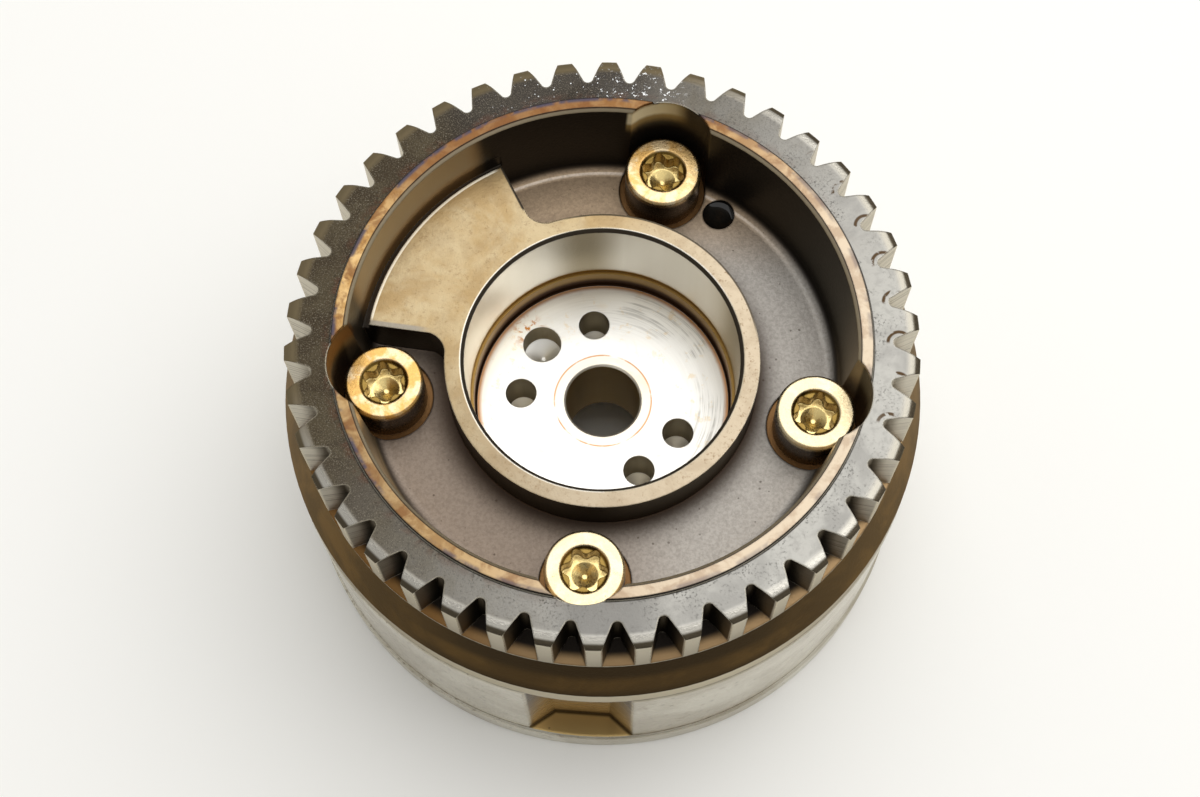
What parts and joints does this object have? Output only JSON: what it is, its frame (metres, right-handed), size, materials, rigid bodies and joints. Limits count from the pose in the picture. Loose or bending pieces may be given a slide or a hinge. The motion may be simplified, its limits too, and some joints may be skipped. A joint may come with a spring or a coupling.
{
  "type": "cam phaser",
  "caption": "Vane-type cam phaser: toothed chain sprocket screwed to a drum housing, with a vane rotor that turns inside it to shift camshaft timing.",
  "frame": {"origin": "on the axis, at the outside face of the front plate that the part stands on", "axes": "+Z along the axis, from the front plate towards the sprocket; +Y away from the picture's camera"},
  "size_m": [0.0912, 0.0912, 0.0509],
  "materials": {
    "sprocket_steel": "oiled, heat-tinted sintered steel with worn bright teeth",
    "drum_steel": "fine turned, lightly scratched",
    "plate_steel": "fine turned",
    "zinc_screw": "yellow zinc plating",
    "rotor_steel": "bright turned with amber oil stains",
    "seal_plastic": "matt",
    "spring_steel": "drawn wire and strip",
    "pin_steel": "ground"
  },
  "bodies": {
    "sprocket_housing": {"sprocket": "sprocket_steel", "housing": "drum_steel", "front_plate": "plate_steel", "clamp_screws": "zinc_screw", "shoe_seal_1": "seal_plastic", "shoe_seal_2": "seal_plastic", "shoe_seal_3": "seal_plastic", "shoe_seal_4": "seal_plastic", "shoe_leaf_1": "spring_steel", "shoe_leaf_2": "spring_steel", "shoe_leaf_3": "spring_steel", "shoe_leaf_4": "spring_steel", "lock_pin_bush": "pin_steel"},
    "rotor": {"vane_rotor": "rotor_steel", "vane_seal_1": "seal_plastic", "vane_seal_2": "seal_plastic", "vane_seal_3": "seal_plastic", "vane_seal_4": "seal_plastic", "vane_leaf_1": "spring_steel", "vane_leaf_2": "spring_steel", "vane_leaf_3": "spring_steel", "vane_leaf_4": "spring_steel", "lock_pin_seat": "pin_steel", "lock_pin_spring": "spring_steel"},
    "lock_pin": {"lock_pin": "pin_steel"}
  },
  "joints": [
    {"name": "rotor_phase", "type": "hinge", "parent": "sprocket_housing", "child": "rotor", "pos_m": [0, 0, 0], "axis": [0, 0, 1], "range_deg": [-22, 0]},
    {"name": "lock_pin_slide", "type": "slide", "parent": "rotor", "child": "lock_pin", "axis": [0, 0, 1], "range_m": [0, 0.0008], "deforming": ["lock_pin_spring"]}
  ]
}
